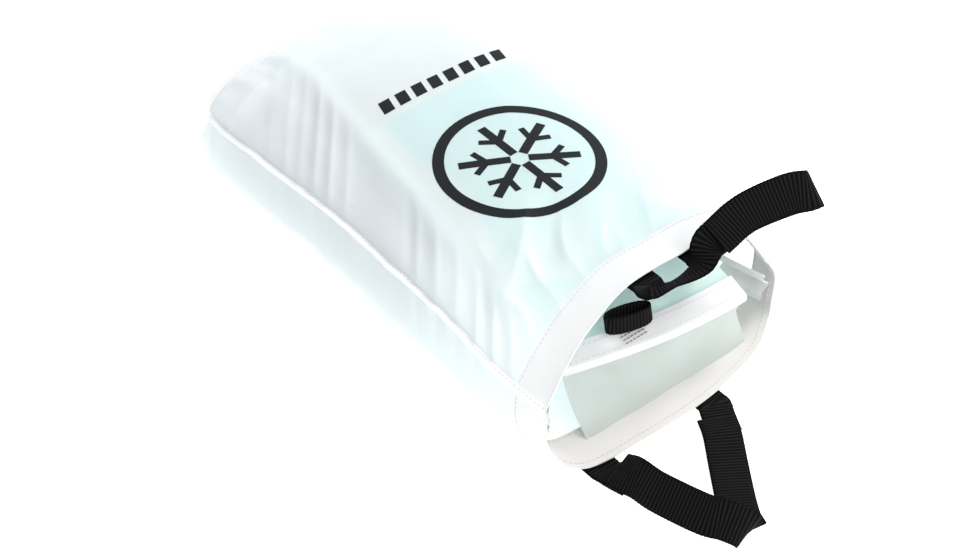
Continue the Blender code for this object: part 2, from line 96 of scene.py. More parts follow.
# the edges of the open mouth, from its left corner to its right corner, in millimetres
UPPER_LIP = (
    (-102.5, -141, 42), (-64, -123, 55), (-37, -115, 63),
    (-12.5, -110, 68), (10, -110, 70), (32, -111, 70),
    (57.5, -107, 66), (87, -110, 58), (94.5, -130, 42),
)
LOWER_LIP = (
    (-102.5, -141, 42), (-104.5, -144, 20), (-101, -150, 6.5),
    (-94.5, -162, 3.4), (-81, -168.4, 3.2), (-41.5, -170.1, 3.2),
    (1.2, -169.4, 3.2), (31, -165.2, 3.4), (60, -158, 5),
    (82, -146, 10), (90.5, -140, 18), (99, -133, 30),
    (94.5, -130, 42),
)
LIP_BLEND = 0.30  # share of the bag's length over which the lips fade out

ROWS = 200  # cells from the mouth to the closed end
COLUMNS = 150  # cells from one side seam to the other
OUTLINE_CELLS = 160  # cells of one worked-out cross-section
HEM_ROWS = 14  # cells of the hem, about 28 mm deep
HEM_WHITE = 0.85  # how far the hem's double cloth hides what lies behind it
LIFTED_ROWS = 20  # rows under which the lower handle is sewn
CLOTH = 0.35 * MM  # cloth thickness where an edge shows
WELT = 5.0 * MM  # how far a seam allowance stands out
EAR_TIPS = (mm(-27.9, 25, 3.5), mm(20, 12.5, 2))  # from the closed end's left and right corners

WEBBING_WIDTH = 25.0 * MM
WEBBING = 1.6 * MM  # its thickness
TAIL_WIDTH = 22.0 * MM  # where the handles are sewn on it is pinched
RIB_PITCH = 2.3 * MM  # spacing of the webbing's cross ribs
RIB_STEPS = 6  # rings of mesh for each rib
FIT_GAP = 0.3 * MM  # air between layers of webbing
TAPE_PARTS = 12  # cells across the webbing

# where the straps come out at the lips
FRONT_EXITS = (mm(1.4, -110, 65.7), mm(44.2, -110, 64.5))
BACK_EXITS_X = (-0.0803, 0.0090)
JOINTS = {joint["name"]: joint for joint in frame["joints"]}
FRONT_PIVOT = Vector(JOINTS["front_handle_swing"]["pos_m"])
BACK_PIVOT = Vector(JOINTS["back_handle_lift"]["pos_m"])

# the inner pouch's corners, and how far its hem bows up and forward between them
HEM_LEFT = mm(-68, -116, 35)
HEM_RIGHT = mm(64, -140, 39)
HEM_BOW = mm(0, -9, 4.5)
FRONT_LEFT = mm(-74.5, -146.5, 6.5)
FRONT_RIGHT = mm(60, -145, 7.5)
FAR_LEFT = mm(-66, 118, 56)
FAR_RIGHT = mm(66, 118, 58)
FAR_BOW = mm(0, 0, 4)
POUCH_PARTS = 56
GUSSET_TOP = 0.040  # just under the mouth's corners
LOOP_CENTRE = mm(-19.9, -122, 55.2)
LOOP_REACH, LOOP_SPREAD = 0.0155, 0.0048  # half its length and width seen from above
LOOP_TURN = math.radians(-15)
LOOP_WIDTH = 13.0 * MM
MINT_LEFT_X = -0.030  # left edge of the pouch where it shows through the panel

CREASE_SLANT = 1.24  # Y for each metre of X along a crease of a side wall
CREASE_PITCH = 19.0 * MM
LEFT_WALL_X = -0.098  # where the creases of the left and right walls start from
RIGHT_WALL_X = 0.11
WALL_CREASES, WALL_PLEATS = 1.4, 1.5  # heights of the cloth's folds, in millimetres
BROAD_WAVES, FINE_WAVES, FACE_FOLDS = 1.3, 0.4, 1.0
SLACK_FOLDS, SLACK_CREASES, SLACK_SINK = 4.2, 2.4, 1.8
SHOULDER_RIDGE, SHOULDER_VALLEY = 1.5, 1.1
END_GATHERS, END_PUCKERS = 1.6, 1.0


# ------------ the bag's shape
def steps(count):
    """Even steps from 0 to 1."""
    return [k / count for k in range(count + 1)]


def grid(along, across, function):
    """Rows of points: function(v, u) at even steps of v along and of u across."""
    return [[function(v, u) for u in steps(across)] for v in steps(along)]


def smooth(value, low, high):
    """0 below low, 1 above high and an even ease between them."""
    step = min(1.0, max(0.0, (value - low) / (high - low)))
    return step * step * (3 - 2 * step)


def station(share):
    """Half widths, seam height, rise and depth at a share of the way to the closed end."""
    for low, high in zip(STATIONS, STATIONS[1:]):
        if share <= high[0]:
            step = (share - low[0]) / (high[0] - low[0])
            if high[0] < 0.95:
                step = smooth(step, 0, 1)
            return [(a + (b - a) * step) * MM for a, b in zip(low[1:], high[1:])]
    return [value * MM for value in STATIONS[-1][1:]]


def running_lengths(points):
    """The length of a line up to each of its points."""
    lengths = [0.0]
    for a, b in zip(points, points[1:]):
        lengths.append(lengths[-1] + (b - a).length)
    return lengths


def places_at(points, fractions):
    """Places at fractions of a line's length, each as a point's number and a share of the way on."""
    lengths = running_lengths(points)
    places = []
    for fraction in fractions:
        target = fraction * lengths[-1]
        k = min(bisect.bisect_right(lengths, target) - 1, len(points) - 2)
        places.append((k, (target - lengths[k]) / (lengths[k + 1] - lengths[k])))
    return places


def read_at(points, places):
    """A line's points, or values that go with them, at places along it."""
    return [points[k].lerp(points[k + 1], share) for k, share in places]


def at_fractions(points, fractions):
    return read_at(points, places_at(points, fractions))


def body_outline(side, share):
    """The filled bag's cross-section above (side +1) or below (-1) its seams, left to right."""
    left, right, seam, rise, depth = station(share)
    points = []
    for k in range(OUTLINE_CELLS + 1):
        angle = math.pi * (1.0 + math.cos(math.pi * k / OUTLINE_CELLS)) / 2
        cosine, sine = math.cos(angle), max(0.0, math.sin(angle))
        on_left = cosine < 0
        if side > 0:
            power = ROOF_POWER if on_left else SHOULDER_POWER
        else:
            power = BASE_POWER
        reach = abs(cosine) ** (2 / power)
        height = sine ** (2 / power)
        x = reach * (-left if on_left else right)
        if side > 0:
            z = seam + height * rise
        else:
            x *= 1.0 + FLARE[0 if on_left else 1] * height * min(1.0, depth / seam)
            z = max(0.0, seam - height * depth)
        end = CLOSED_Y - END_BOW[0 if on_left else 1] * reach ** 3
        points.append(Vector((x, CHORD_Y + (end - CHORD_Y) * share, z)))
    return points


def smooth_rows(side):
    """The bag without its wrinkles, above or below the seams, as rows of points."""
    fractions = steps(COLUMNS)
    corners = [Vector(corner) * MM for corner in (UPPER_LIP if side > 0 else LOWER_LIP)]
    lip = at_fractions(curve_through(corners, 12), fractions)
    start = at_fractions(body_outline(side, 0.0), fractions)
    rows = []
    for share in steps(ROWS):
        line = at_fractions(body_outline(side, share), fractions)
        pull = 1.0 - smooth(share, 0.0, LIP_BLEND)
        rows.append([p + (a - b) * pull for p, a, b in zip(line, lip, start)])
    return rows


def noise_at(x, y, z=0.0):
    return noise.noise(Vector((x, y, z)))


def zigzag(value):
    """A wave of straight slopes with sharp ridges, from -1 to 1."""
    return 4 * abs(value - math.floor(value + 0.5)) - 1


def bell(distance, width):
    """1 at no distance, fading out evenly both ways."""
    return math.exp(-(distance / width) ** 2)


def crests(a, b, c):
    """Sharp-crested folds, 1 along their crests and 0 away from them."""
    return max(0.0, 1.0 - 2.6 * abs(noise_at(a, b, c))) ** 1.5


def fold_line_x(y):
    """Where the flat top breaks into the sloping left side."""
    return -0.063 + 0.15 * y + 0.004 * noise_at(y * 14, 6.0)


def wall_folds(x, y, z, side):
    """Creases and pleats that stand across a side wall, in millimetres."""
    start, slant = (LEFT_WALL_X, -CREASE_SLANT) if x < 0 else (RIGHT_WALL_X, CREASE_SLANT)
    along = y + slant * (x - start)
    along += 0.004 * noise_at(along * 30, z * 25, 4.0)
    strength = max(0.0, 0.30 + 1.9 * noise_at(along * 17, z * 14, 7.0))
    creases = 1.0 - abs(zigzag(along / (2 * CREASE_PITCH) + 0.4 * noise_at(along * 11, 2.0)))
    pleats = noise_at(along * 26, z * 16, side * 0.2)
    return WALL_CREASES * strength * (creases ** 2 - 0.35) + WALL_PLEATS * pleats


def top_folds(x, y, share, face, held):
    """Slack behind the hem, long folds and the ridge above the left wall, in millimetres."""
    slack = bell(share - 0.19, 0.09) * face
    across, down = 0.78 * x - 0.63 * y, 0.63 * x + 0.78 * y
    folds = SLACK_FOLDS * crests(across * 24, down * 8, 1.0)
    folds += SLACK_CREASES * crests(across * 40, down * 16, 7.0) - SLACK_SINK
    height = slack * folds * (1.0 - 0.4 * smooth(x, 0.02, 0.06))
    height += FACE_FOLDS * face * held * (crests(x * 9 + y * 3, y * 5, 4.0) - 0.35)
    past_line = x - fold_line_x(y)
    height += SHOULDER_RIDGE * bell(past_line, 0.007) * held * smooth(share, 0.26, 0.45)
    return height - SHOULDER_VALLEY * bell(past_line + 0.018, 0.010) * held * smooth(share, 0.30, 0.5)


def wrinkle(point, side, share):
    """How far the cloth stands out from the smooth shape at a point, in millimetres."""
    x, y, z = point
    held = 1.0 - smooth(share, 0.93, 1.0)
    on_left = smooth(fold_line_x(y) - x, -0.004, 0.012)
    on_right = smooth(x, 0.085, 0.105)
    walls = (on_left + on_right) * smooth(z, 0.002, 0.012) * smooth(share, 0.04, 0.14) * held
    height = walls * wall_folds(x, y, z, side)
    face = 1.0 - max(on_left, on_right)
    waves = BROAD_WAVES * noise_at(x * 10, y * 8, 2.0 + side) + FINE_WAVES * noise_at(x * 30, y * 24, 5.0)
    height += face * held * waves
    if side > 0:
        height += top_folds(x, y, share, face, held)
    near_end = bell(1.0 - share, 0.10) * smooth(1.0 - share, 0.0, 0.03)
    gathers = END_GATHERS * noise_at(x * 70, y * 9, 8.0) + END_PUCKERS * noise_at(x * 130, y * 16, 3.0)
    return height + near_end * gathers


def shell_rows(side):
    """The bag's upper or lower cloth as rows of points, wrinkles included."""
    base = smooth_rows(side)
    outs = normals_of(base, side)
    rows = []
    for i, line in enumerate(base):
        row = []
        for j, point in enumerate(line):
            edge = smooth(min(j, COLUMNS - j), 0, 4)
            moved = point + outs[i][j] * wrinkle(point, side, i / ROWS) * MM * (0.35 + 0.65 * edge)
            moved.z = max(moved.z, point.z - 0.2 * MM if i < LIFTED_ROWS else 0.15 * MM)
            row.append(moved)
        rows.append(row)
    return rows


def normals_of(rows, side):
    """The outward direction at each point of a sheet given as rows."""
    result = []
    last_i, last_j = len(rows) - 1, len(rows[0]) - 1
    for i, line in enumerate(rows):
        row = []
        for j in range(len(line)):
            ahead = rows[min(i + 1, last_i)][j] - rows[max(i - 1, 0)][j]
            beside = line[min(j + 1, last_j)] - line[max(j - 1, 0)]
            out = beside.cross(ahead) * side
            row.append(out.normalized() if out.length > 1e-12 else Vector((0, 0, side)))
        result.append(row)
    return result


# ------------ mesh helpers
def new_object(name, work, look, smooth_shading=True):
    data = bpy.data.meshes.new(name)
    work.to_mesh(data)
    work.free()
    data.materials.append(LOOKS[look])
    if smooth_shading:
        data.shade_smooth()
    made = bpy.data.objects.new(name, data)
    bpy.context.scene.collection.objects.link(made)
    return made


def closed_object(name, work, look):
    """An object from closed surfaces, with all faces pointing out."""
    bmesh.ops.recalc_face_normals(work, faces=work.faces)
    return new_object(name, work, look)


def sheet_object(name, rows, look, flip=False):
    """A sheet of cloth from rows of points."""
    work = bmesh.new()
    points = [[work.verts.new(p) for p in row] for row in rows]
    for near, far in zip(points, points[1:]):
        for j in range(len(near) - 1):
            corners = (near[j], near[j + 1], far[j + 1], far[j])
            work.faces.new(corners[::-1] if flip else corners)
    return new_object(name, work, look)


def place(piece, slot, body, *nodes):
    """Put a piece on the body it rides on and hide the CAD nodes it stands for; the slot is not used."""
    if nodes:
        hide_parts(*nodes)
    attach(piece, body)


def give_thickness(piece, thickness, offset=0.0):
    """Solidify a sheet, applied, so that its edges have a real thickness."""
    modifier = piece.modifiers.new("thickness", "SOLIDIFY")
    modifier.thickness = thickness
    modifier.offset = offset
    depsgraph = bpy.context.evaluated_depsgraph_get()
    piece.data = bpy.data.meshes.new_from_object(piece.evaluated_get(depsgraph))
    piece.modifiers.clear()
    piece.data.shade_smooth()
    piece.data.set_sharp_from_angle(angle=math.radians(60))


def curve_through(values, parts):
    """Points on a Catmull-Rom curve through the given vectors."""
    ends = [values[0] * 2 - values[1]] + list(values) + [values[-1] * 2 - values[-2]]
    result = []
    for k in range(len(values) - 1):
        a, b, c, d = ends[k:k + 4]
        for n in range(parts):
            t = n / parts
            result.append(0.5 * (2 * b + (c - a) * t + (2 * a - 5 * b + 4 * c - d) * t * t
                                 + (3 * b - a - 3 * c + d) * t ** 3))
    result.append(values[-1].copy())
    return result


def even_places(points, spacing):
    """Evenly spaced places along a line, and its length."""
    length = running_lengths(points)[-1]
    return places_at(points, steps(max(2, round(length / spacing)))), length


def heading(points, k, closed):
    """The way a line runs at one of its points."""
    last = len(points) - 1
    ahead = points[(k + 1) % (last + 1)] if closed else points[min(k + 1, last)]
    behind = points[k - 1] if closed else points[max(k - 1, 0)]
    return (ahead - behind).normalized()


def join_rings(work, rings, closed):
    """Faces between neighbouring rings of vertices, with caps unless the rings close up."""
    pairs = list(zip(rings, rings[1:]))
    if closed:
        pairs.append((rings[-1], rings[0]))
    size = len(rings[0])
    for near, far in pairs:
        for n in range(size):
            work.faces.new((near[n], near[(n + 1) % size], far[(n + 1) % size], far[n]))
    if not closed:
        work.faces.new(rings[0][::-1])
        work.faces.new(rings[-1])


def tube(work, points, radius, sides=8, closed=False, taper=None):
    """A round tube along points, added to a bmesh."""
    rings = []
    for k, centre in enumerate(points):
        along = heading(points, k, closed)
        across = along.cross(UP)
        if across.length < 0.1:
            across = along.cross(Vector((1, 0, 0)))
        across.normalize()
        up = across.cross(along)
        size = radius * (taper(k / (len(points) - 1)) if taper else 1.0)
        rings.append([work.verts.new(centre + across * size * math.cos(a) + up * size * math.sin(a))
                      for a in (2 * math.pi * n / sides for n in range(sides))])
    join_rings(work, rings, closed)


def thread_object(name, lines, look, stitch=2.6 * MM, gap=0.9 * MM, radius=0.28 * MM):
    """Rows of stitches: each line is a list of (point, outward normal) on the cloth."""
    work = bmesh.new()
    for line in lines:
        points = [p for p, _ in line]
        outs = [n for _, n in line]
        places, length = even_places(points, 0.6 * MM)
        path = read_at(points, places)
        ways = read_at(outs, places)
        step = length / max(1, len(path) - 1)
        stride = max(1, round((stitch + gap) / step))
        shown = max(2, round(stitch / step))
        for start in range(0, len(path) - shown, stride):
            picked = [path[start + n] + ways[start + n].normalized()
                      * radius * (0.75 * math.sin(math.pi * n / shown) - 0.15)
                      for n in range(shown + 1)]
            tube(work, picked, radius, sides=5, taper=lambda t: 0.55 + 0.45 * math.sin(math.pi * t))
    return closed_object(name, work, look)


def thick_sheet(name, rows, look, thickness, slot, body, node, flip=False, offset=0.0):
    """A sheet with a real thickness, on its body and in place of a CAD node."""
    piece = sheet_object(name, rows, look, flip)
    give_thickness(piece, thickness, offset)
    place(piece, slot, body, node)
    return piece


# ------------ materials
def shader(name, colour=(0.8, 0.8, 0.8), roughness=0.6, **values):
    """A new material with a Principled shader, and its node tree."""
    made = bpy.data.materials.new(name)
    made.use_nodes = True
    tree = made.node_tree
    principled = tree.nodes["Principled BSDF"]
    principled.inputs["Base Color"].default_value = (*colour, 1.0)
    principled.inputs["Roughness"].default_value = roughness
    for key, value in values.items():
        principled.inputs[key.replace("_", " ")].default_value = value
    return made, tree, principled


def add(tree, kind, inputs=(), **properties):
    """A node of a kind, with its properties, and inputs as {socket: value or output}."""
    node = tree.nodes.new(kind)
    for key, value in properties.items():
        setattr(node, key, value)
    for key, value in dict(inputs).items():
        if isinstance(value, bpy.types.NodeSocket):
            tree.links.new(value, node.inputs[key])
        else:
            node.inputs[key].default_value = value
    return node


def position(tree, scale=(1.0, 1.0, 1.0)):
    """The object's coordinates in metres, multiplied along each axis."""
    metres = tree.nodes.new("ShaderNodeTexCoord").outputs["Object"]
    return add(tree, "ShaderNodeMapping", {"Vector": metres, "Scale": scale}).outputs["Vector"]


def cloud(tree, scale, detail=2.0, vector=None, **more):
    """Noise from 0 to 1."""
    inputs = {"Vector": vector or position(tree), "Scale": scale, "Detail": detail, **more}
    return add(tree, "ShaderNodeTexNoise", inputs).outputs["Fac"]


def stripes(tree, scale, distortion, direction):
    """Wavy bands from 0 to 1 along one direction."""
    inputs = {"Vector": position(tree), "Scale": scale, "Distortion": distortion}
    return add(tree, "ShaderNodeTexWave", inputs, bands_direction=direction).outputs["Fac"]


def mixed(tree, factor, *ends):
    """A colour between two, by a factor."""
    first, second = (end if isinstance(end, bpy.types.NodeSocket) else (*end, 1.0) for end in ends)
    return add(tree, "ShaderNodeMix", {0: factor, 6: first, 7: second}, data_type="RGBA").outputs[2]


def scaled(tree, value, factor, offset=0.0):
    """A value times a factor, plus an offset."""
    inputs = {0: value, 1: factor, 2: offset}
    return add(tree, "ShaderNodeMath", inputs, operation="MULTIPLY_ADD").outputs[0]


def attribute(tree, name):
    return add(tree, "ShaderNodeAttribute", attribute_name=name).outputs["Fac"]


def bump(tree, principled, height, distance, strength, **before):
    """Relief from a height; a Normal given here is the relief that it adds to."""
    inputs = {"Height": height, "Distance": distance, "Strength": strength, **before}
    normal = add(tree, "ShaderNodeBump", inputs).outputs["Normal"]
    tree.links.new(normal, principled.inputs["Normal"])
    return normal


def crinkles(tree, principled, strength):
    """The weave and the fine creases of thin coated nylon, as two layers of bump."""
    threads = {0: stripes(tree, 420.0, 0.6, "X"), 1: stripes(tree, 420.0, 0.6, "Y")}
    weave = add(tree, "ShaderNodeMath", threads, operation="ADD").outputs[0]
    woven = bump(tree, principled, weave, 0.00006, 0.18)
    creases = cloud(tree, 42.0, 5.0, position(tree, (1.0, 0.7, 1.0)), Roughness=0.62, Distortion=0.7)
    bump(tree, principled, creases, 0.0022, strength, Normal=woven)


def paint(tree, principled, colour):
    tree.links.new(colour, principled.inputs["Base Color"])


def see_through(tree, principled, colour, share):
    """Light from behind comes through: a share of a Translucent shader is mixed in."""
    behind = add(tree, "ShaderNodeBsdfTranslucent", {"Color": colour}).outputs["BSDF"]
    mix = add(tree, "ShaderNodeMixShader", {"Fac": share, 1: principled.outputs["BSDF"], 2: behind})
    tree.links.new(mix.outputs["Shader"], tree.nodes["Material Output"].inputs["Surface"])


def bag_cloth_look():
    """White nylon: cool where it is single, tinted where the pouch shows, opaque at the hem, with painted
    shade on the side walls.
    """
    made, tree, principled = shader("bag_nylon", roughness=0.42, Sheen_Weight=0.15, Sheen_Roughness=0.4)
    cloudy = cloud(tree, 14.0, 3.0)
    plain = mixed(tree, cloudy, (0.86, 0.925, 0.94), (0.90, 0.945, 0.955))
    tinted = mixed(tree, scaled(tree, attribute(tree, "tint"), 0.9), plain, (0.76, 0.925, 0.94))
    # painted shade: where the wall attribute is set, the side walls that turn away from the light are painted
    # a greyer colour
    wall_shaded = mixed(tree, scaled(tree, attribute(tree, "wall"), 0.55), tinted, (0.80, 0.815, 0.85))
    final = mixed(tree, attribute(tree, "hem"), wall_shaded, (0.965, 0.97, 0.97))
    paint(tree, principled, final)
    tree.links.new(scaled(tree, cloudy, 0.16, 0.36), principled.inputs["Roughness"])
    crinkles(tree, principled, 0.30)
    see_through(tree, principled, final, 0.38)
    return made


def plain_cloth_look(name, colour, second, share, roughness=0.5, creased=0.3):
    """Thin cloth of one colour that clouds slightly towards a second."""
    made, tree, principled = shader(name, colour, roughness, Sheen_Weight=0.12)
    final = mixed(tree, cloud(tree, 22.0, 3.0), colour, second)
    paint(tree, principled, final)
    crinkles(tree, principled, creased)
    see_through(tree, principled, final, share)
    return made


def webbing_look():
    """Black webbing with cross ribs: painted highlights on the rib tops and painted shade in the grooves
    between them, with fine threads across them.
    """
    made, tree, principled = shader("webbing", roughness=0.7, Specular_IOR_Level=0.06)
    rib = add(tree, "ShaderNodeMath", {0: attribute(tree, "rib"), 1: 3.0}, operation="POWER").outputs[0]
    # painted highlight on the rib tops and painted shade in the grooves, by the rib attribute
    rib_lit = mixed(tree, rib, (0.0003, 0.0003, 0.0003), (0.017, 0.017, 0.0172))
    fuzz = scaled(tree, cloud(tree, 900.0), 0.4)
    paint(tree, principled, mixed(tree, fuzz, rib_lit, (0.0060, 0.0060, 0.0060)))
    bump(tree, principled, cloud(tree, 1600.0), 0.00025, 0.6)
    return made


def thread_look(name, colour):
    """Sewing thread with a fine twist."""
    made, tree, principled = shader(name, colour, 0.55, Sheen_Weight=0.2)
    twist = stripes(tree, 500.0, 1.0, "DIAGONAL")
    paint(tree, principled, mixed(tree, twist, colour, tuple(c * 0.8 for c in colour)))
    bump(tree, principled, twist, 0.0002, 0.5)
    return made


def grained_look(name, grain_scale, dark, light, depth, strength, roughness=0.5, **values):
    """A surface of two close colours with a fine grain."""
    made, tree, principled = shader(name, roughness=roughness, **values)
    grain = cloud(tree, grain_scale)
    paint(tree, principled, mixed(tree, grain, dark, light))
    bump(tree, principled, grain, depth, strength)
    return made


def plush_look():
    """Short directional plush of a climbing skin: dense fibres that lean one way."""
    made, tree, principled = shader("skin_plush_fibre", roughness=0.9, Sheen_Weight=0.6, Sheen_Roughness=0.5)
    fibres = cloud(tree, 1.0, 4.0, position(tree, (1600.0, 260.0, 1600.0)))
    paint(tree, principled, mixed(tree, fibres, (0.44, 0.47, 0.50), (0.72, 0.74, 0.76)))
    bump(tree, principled, fibres, 0.0006, 0.8)
    return made


def metal_look():
    """Drawn steel wire."""
    made, tree, principled = shader("wire_steel", (0.62, 0.63, 0.65), 0.3, Metallic=1.0)
    grain = cloud(tree, 600.0, 3.0)
    tree.links.new(scaled(tree, grain, 0.25, 0.2), principled.inputs["Roughness"])
    bump(tree, principled, grain, 0.0001, 0.25)
    return made


def floor_look():
    """White paper that glows enough to stay white under the soft light."""
    return shader("floor_paper", (0.93, 0.93, 0.935), 0.9, Specular_IOR_Level=0.1,
                  Emission_Color=(1.0, 1.0, 1.0, 1.0), Emission_Strength=0.85)[0]


LOOKS = {
    "nylon": bag_cloth_look(),
    "lining": plain_cloth_look("hem_lining_cloth", (0.73, 0.71, 0.685), (0.80, 0.78, 0.755), 0.12, 0.6, 0.15),
    "mint": plain_cloth_look("pouch_mint_nylon", (0.66, 0.84, 0.79), (0.72, 0.88, 0.83), 0.40),
    # the pouch's front sheet: a pale grey-green, darkened to the middle of its shaded and lit parts, so
    # partly painted shade
    "pale": plain_cloth_look("pouch_pale_nylon", (0.53, 0.58, 0.55), (0.64, 0.68, 0.65), 0.30),
    "white": plain_cloth_look("pouch_hem_cloth", (0.84, 0.85, 0.86), (0.88, 0.885, 0.89), 0.10),
    "gusset": plain_cloth_look("gusset_nylon", (0.80, 0.815, 0.80), (0.86, 0.87, 0.86), 0.34, 0.45),
    "webbing": webbing_look(),
    "white_thread": thread_look("white_thread_twist", (0.80, 0.81, 0.83)),
    "grey_thread": thread_look("grey_thread_twist", (0.78, 0.79, 0.81)),
    "black_thread": thread_look("black_thread_twist", (0.02, 0.02, 0.021)),
    "ink": grained_look("print_ink", 700.0, (0.007, 0.009, 0.010), (0.016, 0.019, 0.021), 0.0001, 0.3,
                        Specular_IOR_Level=0.12),
    "plush": plush_look(),
    "metal": metal_look(),
    "floor": floor_look(),
    "moulded": grained_look("moulded_black", 1400.0, (0.022, 0.022, 0.024), (0.045, 0.045, 0.047),
                            0.0002, 0.35),
}


# ------------ the bag
def bend_with_lip(piece):
    """Bake the piece's placement into its mesh."""
    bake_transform(piece)


def tint_at(point):
    """How strongly the mint pouch shows through the upper panel, 0 to 1."""
    edge = MINT_LEFT_X - 0.035 * smooth(-point.y, -0.04, 0.10) + 0.006 * noise_at(point.y * 20, 1.0)
    inside = smooth(point.x, edge - 0.004, edge + 0.004)
    far = 1.0 - smooth(point.y, FAR_LEFT.y - 0.002, FAR_LEFT.y + 0.002)
    fade = smooth(point.y, -0.085, 0.035)
    patch = smooth(noise_at(point.x * 15, point.y * 15, 3.0) - 1.6 * (point.x - 0.02), -0.06, 0.10)
    right = 1.0 - 0.6 * smooth(point.x, 0.070, 0.105)
    hem = smooth(point.y, -0.108, -0.070)
    return inside * far * right * hem * (fade + (1 - fade) * 0.75 * patch)


def painted_wall_shade_at(point):
    """How much painted shade the cloth gets where it turns away from the light: the sloping left side, away
    from the mouth, and the right side.
    """
    left = smooth(fold_line_x(point.y) - point.x, -0.002, 0.010) * smooth(point.y, -0.090, 0.030)
    return max(left, smooth(point.x, 0.095, 0.112))


def build_shell():
    """The bag's upper and lower cloth, which share their side edges."""
    upper = shell_rows(1)
    lower = shell_rows(-1)
    for i in range(ROWS + 1):
        for j in (0, COLUMNS):
            lower[i][j] = upper[i][j].copy()
    top = sheet_object("front_panel_cloth", upper, "nylon")
    bottom = sheet_object("back_panel_cloth", lower, "nylon", flip=True)
    points = [v.co for v in top.data.vertices]
    in_hem = [HEM_WHITE if n // (COLUMNS + 1) <= HEM_ROWS else 0.0 for n in range(len(points))]
    none = [0.0] * len(points)
    # tint is the pouch showing through; wall holds the painted shade of the side walls
    for piece, tint, wall in ((top, [tint_at(p) for p in points], [painted_wall_shade_at(p) for p in points]),
                              (bottom, none, none)):
        for name, values in (("hem", in_hem), ("tint", tint), ("wall", wall)):
            piece.data.attributes.new(name, "FLOAT", "POINT").data.foreach_set("value", values)
    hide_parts("front_panel", "mouth_lip_panel")
    bend_with_lip(top)
    place(bottom, "bag_cloth", "bag", "back_panel")
    return upper, lower


def offset_rows(rows, outs, distance, picked, edge=0):
    """Some rows of the shell, moved along its outward direction."""
    return [[rows[i][j] + outs[i][j] * distance for j in range(edge, COLUMNS + 1 - edge)] for i in picked]


def build_hems(upper, lower):
    """The folded hem inside each lip, its rolled edge and its stitching."""
    seam = HEM_ROWS - 1
    for label, side, rows, look, slot in (("front", 1, upper, "white", "bag_cloth"),
                                          ("back", -1, lower, "lining", "hem_lining")):
        outs = normals_of(rows, side)
        inner = offset_rows(rows, outs, -0.75 * MM, range(HEM_ROWS + 1), 2)
        band = sheet_object(f"{label}_hem_band", inner, look, flip=side < 0)
        give_thickness(band, CLOTH)
        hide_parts(f"{label}_hem")
        work = bmesh.new()
        tube(work, offset_rows(rows, outs, -0.36 * MM, [0])[0], 0.62 * MM)
        rolled = closed_object(f"{label}_lip_roll", work, look)
        outside = [[(p, outs[seam][j]) for j, p in
                    enumerate(offset_rows(rows, outs, 0.1 * MM, [seam])[0]) if 2 <= j < COLUMNS - 1]]
        inside = [[(p, -outs[i][j]) for j, p in
                   enumerate(offset_rows(rows, outs, -1.05 * MM, [i])[0]) if 3 <= j < COLUMNS - 2]
                  for i in (2, seam)]
        threads = thread_object(f"{label}_hem_stitches", outside, "grey_thread")
        inner_threads = thread_object(f"{label}_inner_hem_stitches", inside, "white_thread")
        for piece in (band, rolled, threads, inner_threads):
            if side > 0:
                bend_with_lip(piece)
            else:
                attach(piece, "bag")


def build_welts(upper):
    """The seam allowances that stand out along both sides and the closed end, and the ears."""
    for label, column, sign in (("left", 0, -1), ("right", COLUMNS, 1)):
        edge = [upper[i][column] for i in range(ROWS - 4)]
        rows = []
        for out in steps(6):
            row = []
            for i, base in enumerate(edge):
                ruffle = 0.9 * noise_at(base.y * 75, 2.0 + sign) + 0.35 * math.sin(base.y * 1500)
                reach = WELT * (1 + 0.10 * noise_at(base.y * 40, 5.0)) * smooth(i, -3, 6)
                row.append(base + Vector((sign * (reach * out - 0.7 * MM), 0, ruffle * MM * out)))
            rows.append(row)
        thick_sheet(f"{label}_seam_welt", rows, "white", 1.1 * MM, "bag_cloth", "bag", f"{label}_side_seam",
                    flip=sign > 0)
        lines = [[(p + way * 0.55 * MM, way) for p in rows[2]] for way in (UP, -UP)]
        threads = thread_object(f"{label}_seam_stitches", lines, "white_thread")
        place(threads, "bag_cloth", "bag")
        build_ear(label, sign, upper[ROWS][column])
    rows = []
    edge = upper[ROWS]
    for out in steps(4):
        row = []
        for j, point in enumerate(edge):
            along = edge[min(j + 1, COLUMNS)] - edge[max(j - 1, 0)]
            outward = Vector((-along.y, along.x, 0)).normalized()
            ruffle = 0.6 * noise_at(point.x * 90, 4.0) * out
            row.append(point + outward * (4.6 * MM * out - 0.6 * MM) + Vector((0, 0, ruffle * MM)))
        rows.append(row)
    thick_sheet("closed_end_welt", rows, "white", 1.3 * MM, "bag_cloth", "bag", "closed_end_seam")


def build_ear(label, sign, corner):
    """The pinched corner of cloth that sticks out where side and end seams meet."""
    tip = EAR_TIPS[0 if sign < 0 else 1]
    across = Vector((tip.y, -tip.x, 0)).normalized() * sign

    def point(out, u):
        width = (9.5 - 7.0 * out) * MM
        span = u - 0.5
        curl = 1.2 * MM * math.sin(math.pi * out) * math.cos(math.pi * span)
        return corner + tip * (out * 1.03 - 0.03) + across * width * span + Vector((0, 0, curl))

    rows = grid(12, 6, point)
    thick_sheet(f"{label}_ear_cloth", rows, "white", 1.0 * MM, "bag_cloth", "bag", f"{label}_corner_ear",
                flip=sign > 0)


# ------------ the prints
PRINT_CELL = 2.2 * MM  # edges longer than this are split so that ink follows the cloth
INK_HEIGHT = 0.16 * MM
MARK_CENTRE = Vector((0.017, 0.028))
RING_OUTER, RING_INNER, RING_PARTS = 58 * MM, 50 * MM, 72
ARM_START, ARM_END, ARM_WIDTH = 6 * MM, 41 * MM, 6.5 * MM
TWIG_START, TWIG_LENGTH, TWIG_WIDTH, TWIG_LEAN = 22 * MM, 13.5 * MM, 4.6 * MM, 52
BLOCKS, BLOCK_PITCH, BLOCK_WIDTH, BLOCK_SLANT = 8, 13.9 * MM, 9.2 * MM, 3.5 * MM
BLOCKS_LEFT, BLOCKS_LOW, BLOCKS_HIGH = -0.022, 0.1245, 0.1370


